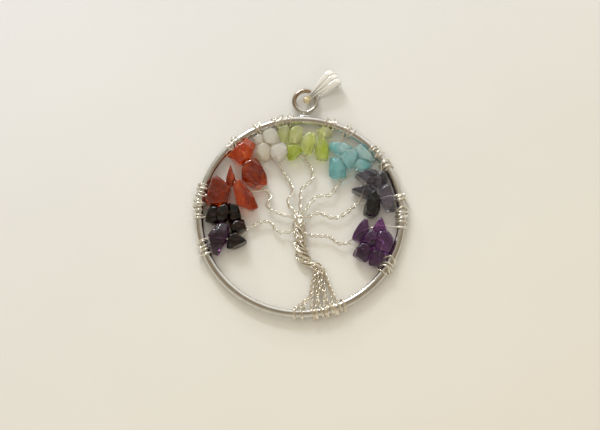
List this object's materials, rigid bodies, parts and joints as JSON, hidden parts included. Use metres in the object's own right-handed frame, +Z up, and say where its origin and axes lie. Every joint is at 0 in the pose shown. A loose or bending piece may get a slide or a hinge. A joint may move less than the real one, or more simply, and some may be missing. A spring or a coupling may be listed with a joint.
{
  "type": "tree of life pendant",
  "caption": "Round wire-wrapped pendant: a silver ring with a twisted wire tree, drilled stone chips on its branches and a folded bail.",
  "frame": {"origin": "bottom centre of the pendant's box as it lies on its back, bail included", "axes": "+Y from the roots towards the bail, +X to the tree's right, +Z up from the surface it lies on"},
  "size_m": [0.0508, 0.0622, 0.0045],
  "materials": {
    "silver": "bright silver plate, polished",
    "wire": "bright silver-plated copper wire",
    "garnet": "tumbled, polished, nearly opaque",
    "carnelian": "tumbled, polished, translucent",
    "moonstone": "tumbled, polished, milky",
    "peridot": "tumbled, polished, translucent",
    "apatite": "tumbled, polished, cloudy",
    "iolite": "tumbled, polished, translucent",
    "amethyst": "tumbled, polished, translucent"
  },
  "bodies": {
    "pendant": {"amethyst_1": "amethyst", "amethyst_2": "amethyst", "amethyst_3": "amethyst", "amethyst_4": "amethyst", "amethyst_5": "amethyst", "amethyst_6": "amethyst", "apatite_1": "apatite", "apatite_2": "apatite", "apatite_3": "apatite", "apatite_4": "apatite", "apatite_5": "apatite", "branch_amethyst": "wire", "branch_apatite": "wire", "branch_carnelian": "wire", "branch_garnet": "wire", "branch_iolite": "wire", "branch_moonstone": "wire", "branch_peridot": "wire", "carnelian_1": "carnelian", "carnelian_2": "carnelian", "carnelian_3": "carnelian", "carnelian_4": "carnelian", "carnelian_5": "carnelian", "garnet_1": "garnet", "garnet_2": "garnet", "garnet_3": "garnet", "garnet_4": "garnet", "garnet_5": "garnet", "garnet_6": "garnet", "iolite_1": "iolite", "iolite_2": "iolite", "iolite_3": "iolite", "iolite_4": "iolite", "iolite_5": "iolite", "moonstone_1": "moonstone", "moonstone_2": "moonstone", "moonstone_3": "moonstone", "moonstone_4": "moonstone", "peridot_1": "peridot", "peridot_2": "peridot", "peridot_3": "peridot", "peridot_4": "peridot", "peridot_5": "peridot", "peridot_6": "peridot", "ring_frame": "silver", "roots": "wire", "trunk": "wire"},
    "bail": {"bail": "silver"}
  },
  "joints": [
    {"name": "bail_swing", "type": "hinge", "parent": "pendant", "child": "bail", "pos_m": [0.00204, 0.02498, 0.00148], "axis": [-0.6691, 0.7431, 0], "range_deg": [-140, 140]}
  ]
}
